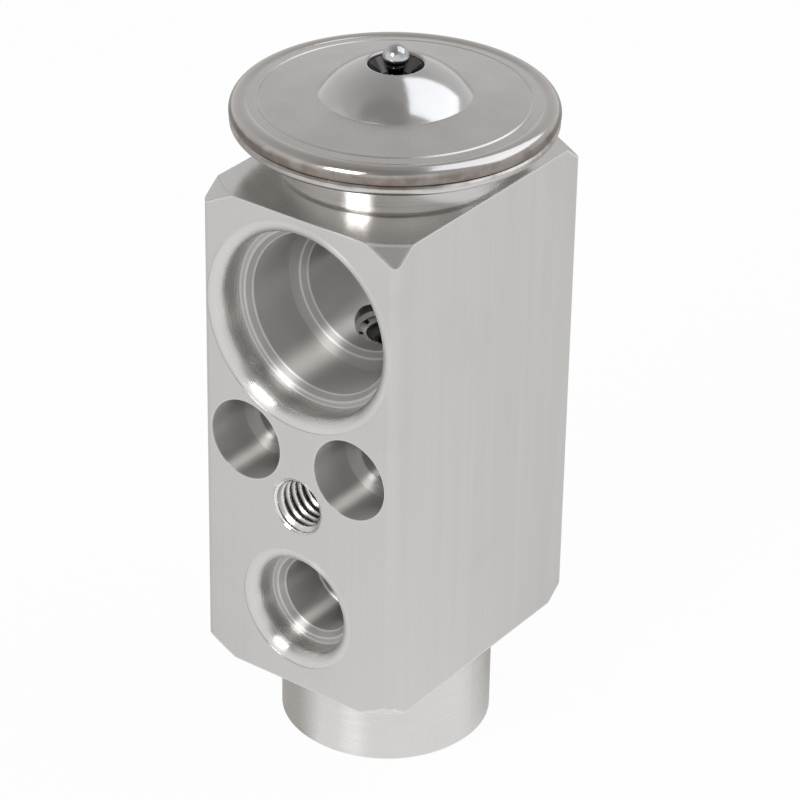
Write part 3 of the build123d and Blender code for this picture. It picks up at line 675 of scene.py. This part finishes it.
# Seal ring of the adjusting screw
# A moulded rubber ring of round section in the screw's groove, oiled when it is
# fitted, which keeps the refrigerant in while the screw is turned.
def rubber_finish(name, slot_node):
    """Moulded black rubber: a fine matt grain, and a paler bloom in soft patches."""
    material, tree, rubber = new_material(name, slot_node)
    place = surface_place(tree)
    grain = noise(tree, place, 9.0, 3.0)
    bloom = effect(tree, stains, Place=place, Size=1.6, Share=0.4)["Mask"]
    colour = mix(tree, grain, (0.014, 0.014, 0.015), (0.040, 0.040, 0.042))
    colour = lay_over(tree, colour, (0.085, 0.085, 0.088), bloom, share=0.5)
    tree.links.new(colour, rubber.inputs["Base Color"])
    tree.links.new(spread(tree, grain, 0.38, 0.58), rubber.inputs["Roughness"])
    bump(tree, grain, 0.005, rubber)


rubber_finish("oiled_rubber_adjuster", "adjuster_seal")


# Superheat spring
# Coiled from hard-drawn steel wire, with the last turn at each end closed up and
# ground flat, and made in a low and an upper half.
wire, coil_radius = 1.2, 3.9
coil_low, coil_high = (corner[2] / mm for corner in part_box("superheat_spring"))
coil_turns, closed_turns, easing_turns = 5.5, 0.75, 0.6
closed_pitch, ground_height = 1.22, 0.30


def eased(share):
    """0 to 1 along a smooth step, with 3 s^2 - 2 s^3 in between."""
    share = np.clip(share, 0, 1)
    return share * share * (3 - 2 * share)


def coil(name, first_turn, last_turn, rows=220, columns=20, steps=4000):
    """Wire wound about the valve's axis from one turn count to another, as a closed tube.

    At turn count t its middle is at angle 2 pi t and at a height that is the running sum
    of the pitch, which eases from the wire's own width at both ends to the open pitch
    between them. A circle is carried along that line, each ring across the line's own
    direction, and what would pass the spring's two ends is held to them as ground flats.
    """
    count = np.linspace(0, coil_turns, steps)
    opened = eased((count - closed_turns) / easing_turns)
    opened = opened * eased((coil_turns - closed_turns - count) / easing_turns)
    running = np.concatenate([[0], np.cumsum((opened[1:] + opened[:-1]) / 2 * np.diff(count))])
    climb = coil_high - coil_low - 2 * ground_height
    heights = coil_low + ground_height + closed_pitch * count
    heights += running * (climb - closed_pitch * coil_turns) / running[-1]
    t = np.linspace(first_turn, last_turn, rows)
    z = np.interp(t, count, heights)
    angle = 2 * np.pi * t
    outward = np.stack([np.cos(angle), np.sin(angle), np.zeros(rows)], axis=-1)
    middle = outward * coil_radius
    middle[:, 2] = z
    along = np.stack([-np.sin(angle), np.cos(angle), np.gradient(z, angle) / coil_radius], axis=-1)
    along /= np.linalg.norm(along, axis=1, keepdims=True)
    upward = np.cross(along, outward)
    upward *= np.sign(upward[:, 2:3])
    around = np.linspace(0, 2 * np.pi, columns, endpoint=False)[None, :, None]
    tube = middle[:, None] + wire / 2 * (np.cos(around) * outward[:, None] + np.sin(around) * upward[:, None])
    tube[..., 2] = np.clip(tube[..., 2], coil_low, coil_high)
    points = np.concatenate([tube.reshape(-1, 3), tube[0].mean(axis=0)[None], tube[-1].mean(axis=0)[None]])
    ring, column = np.meshgrid(np.arange(rows - 1), np.arange(columns), indexing="ij")
    next_column = (column + 1) % columns
    corners = [(ring, column), (ring, next_column), (ring + 1, next_column), (ring + 1, column)]
    faces = np.stack([r * columns + c for r, c in corners], axis=-1).reshape(-1, 4).tolist()
    first, after = np.arange(columns), (np.arange(columns) + 1) % columns
    for hub, start in ((rows * columns, 0), (rows * columns + 1, (rows - 1) * columns)):
        faces += np.stack([np.full(columns, hub), start + first, start + after], axis=-1).tolist()
    wall_faces = np.arange(len(faces)) < (rows - 1) * columns
    made = new_mesh_object(name, points * mm, faces, smooth=wall_faces)
    turn_outwards(made)
    return made


material, tree, metal = new_material("hard_drawn_wire")
place = surface_place(tree)
pulled = noise(tree, vector(tree, "MULTIPLY", place, (0.6, 0.6, 6.0)), 1.5, 3.0)
oxide = effect(tree, stains, Place=place, Size=1.8, Share=0.5)["Mask"]
height = part_of(tree, place, "Z")
above_low = math(tree, "SUBTRACT", height, coil_low)
below_high = math(tree, "SUBTRACT", coil_high, height)
ground = math(tree, "LESS_THAN", math(tree, "MINIMUM", above_low, below_high), 0.02)
plain = mix(tree, pulled, (0.30, 0.29, 0.285), (0.44, 0.43, 0.425))
plain = lay_over(tree, plain, (0.17, 0.16, 0.165), oxide, share=0.6)
plain = mix(tree, ground, plain, (0.66, 0.655, 0.65))
finish_metal(tree, metal, plain, spread(tree, pulled, 0.22, 0.40))
bump(tree, pulled, 0.003, metal)

# The halves meet at the middle of the spring, which stays where it is
half_turns = coil_turns / 2
coil_middle = (coil_low + coil_high) / 2
for name, first_turn, lower_body, upper_body, low, high in (
    ("superheat_spring_low", 0.0, "adjuster_lift", "valve_block", coil_low, coil_middle),
    ("superheat_spring_high", half_turns, "valve_block", "valve_train", coil_middle, coil_high),
):
    piece = coil(name, first_turn, first_turn + half_turns)
    piece.data.materials.append(material)
    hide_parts("superheat_spring")
    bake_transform(piece)


# Damping clip
# A crown stamped from thin spring sheet, held between carrier and spring, whose legs
# rub along the chamber's wall so that the ball does not chatter.
material, tree, metal = new_material("spring_sheet", "damping_clip")
place = surface_place(tree)
lines = effect(tree, drawn_lines, Place=place, Spacing=0.2)
rubbing = effect(tree, scratches, Place=place, Length=1.6, Share=0.7)["Mask"]
stain = effect(tree, stains, Place=place, Size=2.2, Share=0.4)["Mask"]
plain = mix(tree, lines["Shade"], (0.52, 0.505, 0.49), (0.64, 0.63, 0.615))
plain = lay_over(tree, plain, (0.44, 0.40, 0.35), stain, share=0.4)
plain = mix(tree, rubbing, plain, (0.78, 0.78, 0.78))
finish_metal(tree, metal, plain, remap(tree, lines["Shade"], 0.0, 1.0, 0.22, 0.34))
bump(tree, lines["Height"], 0.0015, metal)


# Ball carrier
# Turned from brass rod: a conical cup in which the ball sits, a flange for the clip
# and the spring, and a spigot that centres the spring.
brass = turned_finish(
    "turned_brass_carrier", "ball_carrier", dark=(0.68, 0.52, 0.27), light=(0.81, 0.67, 0.40),
    spacing=0.10, smooth=0.18, dull=0.30,
)
tarnish(brass, size=2.0, share=0.35, colour=(0.54, 0.38, 0.20))
join_finish(brass)


# Valve ball
# A hardened steel ball, ground and lapped bright, that the spring presses against the
# orifice's seat from below. It lies loose in the carrier's cup.
material, tree, metal = new_material("lapped_ball", "valve_ball")
place = surface_place(tree)
lapping = effect(tree, scratches, Place=place, Length=0.9, Share=0.8)["Mask"]
haze = noise(tree, place, 1.2, 2.0)
plain = mix(tree, haze, (0.62, 0.62, 0.63), (0.74, 0.74, 0.75))
plain = lay_over(tree, plain, (0.50, 0.50, 0.51), lapping, share=0.5)
finish_metal(tree, metal, plain, math(tree, "MULTIPLY_ADD", lapping, 0.12, spread(tree, haze, 0.05, 0.09)))
bump(tree, lapping, 0.0006, metal)


# Push rod
# A centreless-ground steel rod, slimmer where it passes the orifice, that carries the
# diaphragm's movement down through the suction passage to the ball.
ground_steel = turned_finish(
    "ground_steel_rod", "actuating_rod", dark=(0.56, 0.56, 0.565), light=(0.68, 0.68, 0.685),
    spacing=0.07, smooth=0.12, dull=0.22, relief=0.0005, sheen=0.4,
)
tarnish(ground_steel, size=4.0, share=0.3, colour=(0.48, 0.45, 0.42), dulling=0.08)
join_finish(ground_steel)


# Seal ring around the push rod
# A small moulded rubber ring, oiled and slipped over the rod into its pocket, that
# keeps the liquid side apart from the suction passage.
rubber_finish("oiled_rubber_rod", "rod_seal")


# Retaining ring over that seal
# Stamped from steel sheet, dished and notched around its edge, and pressed into the
# pocket in the floor of the suction passage; the stamping leaves it rough and stained.
material, tree, metal = new_material("stamped_steel_ring", "seal_retainer")
place = surface_place(tree)
rough_skin = noise(tree, place, 3.5, 4.0)
stain = effect(tree, stains, Place=place, Size=1.1, Share=0.5)["Mask"]
plain = mix(tree, rough_skin, (0.48, 0.47, 0.455), (0.74, 0.73, 0.72))
plain = lay_over(tree, plain, (0.20, 0.185, 0.17), stain, share=0.6)
finish_metal(tree, metal, plain, spread(tree, rough_skin, 0.16, 0.36))
bump(tree, rough_skin, 0.012, metal)


# Seal ring under the head
# A moulded rubber ring in the groove around the socket's mouth, squeezed by the head's
# neck as its stem is screwed down.
rubber_finish("oiled_rubber_head", "head_seal")


# Lower shell of the head
# Turned from steel bar: a broad flange, a short neck with a bowl inside it and a stem
# that screws into the block. The weld of the two shells has tinted its rim brown.
weld_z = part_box("head_base")[1][2] / mm
weld_radius = 16.0
tint_reach = 0.6


def heat_tint(tree, place, radius, height, colour, amount):
    """Brown oxide beside the weld, in a band that is broken up by clouds."""
    near = math(tree, "ABSOLUTE", math(tree, "SUBTRACT", height, weld_z))
    near = remap(tree, near, 0.15, tint_reach, 1.0, 0.0)
    at_rim = remap(tree, radius, weld_radius - 0.8, weld_radius)
    cloud = remap(tree, noise(tree, place, 0.55, 3.0), 0.38, 0.62, 0.35, 1.0)
    return mix(tree, product(tree, near, at_rim, cloud, amount), colour, (0.19, 0.15, 0.125))


neck_steel = turned_finish(
    "turned_steel_neck", "head_base", dark=(0.60, 0.585, 0.57), light=(0.70, 0.69, 0.675),
    spacing=0.09, smooth=0.17, dull=0.28, relief=0.0006, sheen=0.5,
)
tarnish(neck_steel, size=5.0, share=0.3, colour=(0.52, 0.48, 0.44), dulling=0.06)

# Painted shade darkens the underside of the flange outside the neck, where little light gets in
under_flange = weld_z - 1.1
neck_radius, in_shade_radius = 11.4, 12.2
tree = neck_steel.tree
flange_shade = remap(tree, neck_steel.height, under_flange, under_flange - 0.05)
flange_shade = product(tree, flange_shade, remap(tree, neck_steel.radius, neck_radius, in_shade_radius))
plain = lay_over(tree, neck_steel.colour, (0.30, 0.285, 0.27), flange_shade, share=0.8)
plain = heat_tint(tree, neck_steel.place, neck_steel.radius, neck_steel.height, plain, 0.6)
neck_steel.colour = plain
join_finish(neck_steel)


# Thrust pad
# A disc turned from brass rod that lies loose under the diaphragm, with a blind socket
# in which the push rod's upper end sits.
brass = turned_finish(
    "turned_brass_pad", "thrust_pad", dark=(0.66, 0.51, 0.27), light=(0.79, 0.65, 0.38),
    spacing=0.16, smooth=0.20, dull=0.32,
)
tarnish(brass, size=4.0, share=0.35, colour=(0.52, 0.37, 0.19))
join_finish(brass)


# Diaphragm
# A thin rolled sheet of stainless steel with three pressed waves, welded between the
# shells around its edge; its skin shows the lines of rolling and the press's rings.
material, tree, metal = new_material("rolled_sheet", "diaphragm")
place = surface_place(tree)
rolled = noise(tree, vector(tree, "MULTIPLY", place, (0.3, 8.0, 1.0)), 1.0, 2.0)
radius = from_axis(tree, place)
pressed = effect(tree, tool_marks, Feed=radius, Spacing=0.3)["Shade"]
plain = mix(tree, rolled, (0.56, 0.55, 0.54), (0.68, 0.67, 0.66))
plain = lay_over(tree, plain, (0.50, 0.49, 0.48), pressed, share=0.3)
plain = mix(tree, remap(tree, radius, weld_radius - 0.8, weld_radius - 0.1), plain, (0.24, 0.18, 0.14))
finish_metal(tree, metal, plain, spread(tree, rolled, 0.18, 0.30))
bump(tree, rolled, 0.001, metal)


# Upper shell of the head
# Pressed from stainless sheet: a rolled bead, a nearly flat satin disc with a line
# pressed around it, and a bulged cone, rubbed bright, with the charge hole's crater.
bead_start, bead_full = 14.5, 15.1
bead_top, bead_side = 71.95, 71.35
cone_foot, crater_radius = 7.6, 2.72
ring_inner, ring_outer = 13.6, 14.4
material, tree, metal = new_material("pressed_steel_cap", "head_cap")
place = surface_place(tree)
radius = from_axis(tree, place)
height = part_of(tree, place, "Z")
grain = noise(tree, place, 7.0, 3.0)
smudge = noise(tree, place, 0.28, 4.0)
scratch = effect(tree, scratches, Place=place, Length=3.0, Share=0.6)["Mask"]
bead = remap(tree, radius, bead_start, bead_full, easing="SMOOTHSTEP")
outer = product(tree, bead, remap(tree, height, bead_top, bead_side))
cone = remap(tree, radius, cone_foot, cone_foot + 0.15, 1.0, 0.0)
crater = remap(tree, radius, crater_radius, crater_radius + 0.23, 1.0, 0.0)
past_ring = remap(tree, radius, ring_outer, ring_outer + 0.2, 1.0, 0.0)
rim_ring = product(tree, remap(tree, radius, ring_inner, ring_inner + 0.15), past_ring)
flush = remap(tree, noise(tree, place, 0.5, 4.0), 0.44, 0.58)

plain = mix(tree, remap(tree, smudge, 0.35, 0.65), (0.620, 0.595, 0.570), (0.665, 0.640, 0.617))
plain = lay_over(tree, plain, (0.50, 0.49, 0.475), grain, share=0.03)
plain = lay_over(tree, plain, (0.67, 0.655, 0.64), rim_ring, share=0.15)
plain = lay_over(tree, plain, (0.76, 0.75, 0.74), scratch, share=0.35)
plain = lay_over(tree, plain, (0.52, 0.49, 0.475), bead, share=0.5)
plain = lay_over(tree, plain, (0.23, 0.20, 0.18), outer, share=0.85)
plain = lay_over(tree, plain, (0.17, 0.135, 0.115), product(tree, outer, flush), share=0.6)
plain = heat_tint(tree, place, radius, height, plain, 0.9)
plain = lay_over(tree, plain, (0.64, 0.64, 0.645), cone, share=0.5)
plain = mix(tree, crater, plain, (0.085, 0.08, 0.08))
satin = spread(tree, grain, 0.27, 0.285)
shiny = spread(tree, grain, 0.12, 0.17)
finish_metal(tree, metal, plain, mix(tree, math(tree, "MAXIMUM", bead, cone), satin, shiny, "FLOAT"))
bump(tree, smudge, 0.006, metal)


# Charge plug
# A steel plug pushed into the charge hole and welded there once the gas is in; its
# ball end is polished, and the weld has blackened the collar at its foot.
ball_low, collar_fade = 75.7, 0.3
material, tree, metal = new_material("polished_plug", "charge_plug")
place = surface_place(tree)
collar = remap(tree, part_of(tree, place, "Z"), ball_low - collar_fade, ball_low, 1.0, 0.0)
haze = noise(tree, place, 1.6, 2.0)
scratch = effect(tree, scratches, Place=place, Length=0.8, Share=0.6)["Mask"]
plain = mix(tree, haze, (0.50, 0.50, 0.51), (0.62, 0.62, 0.63))
plain = lay_over(tree, plain, (0.75, 0.75, 0.76), scratch, share=0.4)
plain = mix(tree, collar, plain, (0.09, 0.085, 0.085))
finish_metal(tree, metal, plain, spread(tree, haze, 0.06, 0.11))
bump(tree, haze, 0.004, metal)
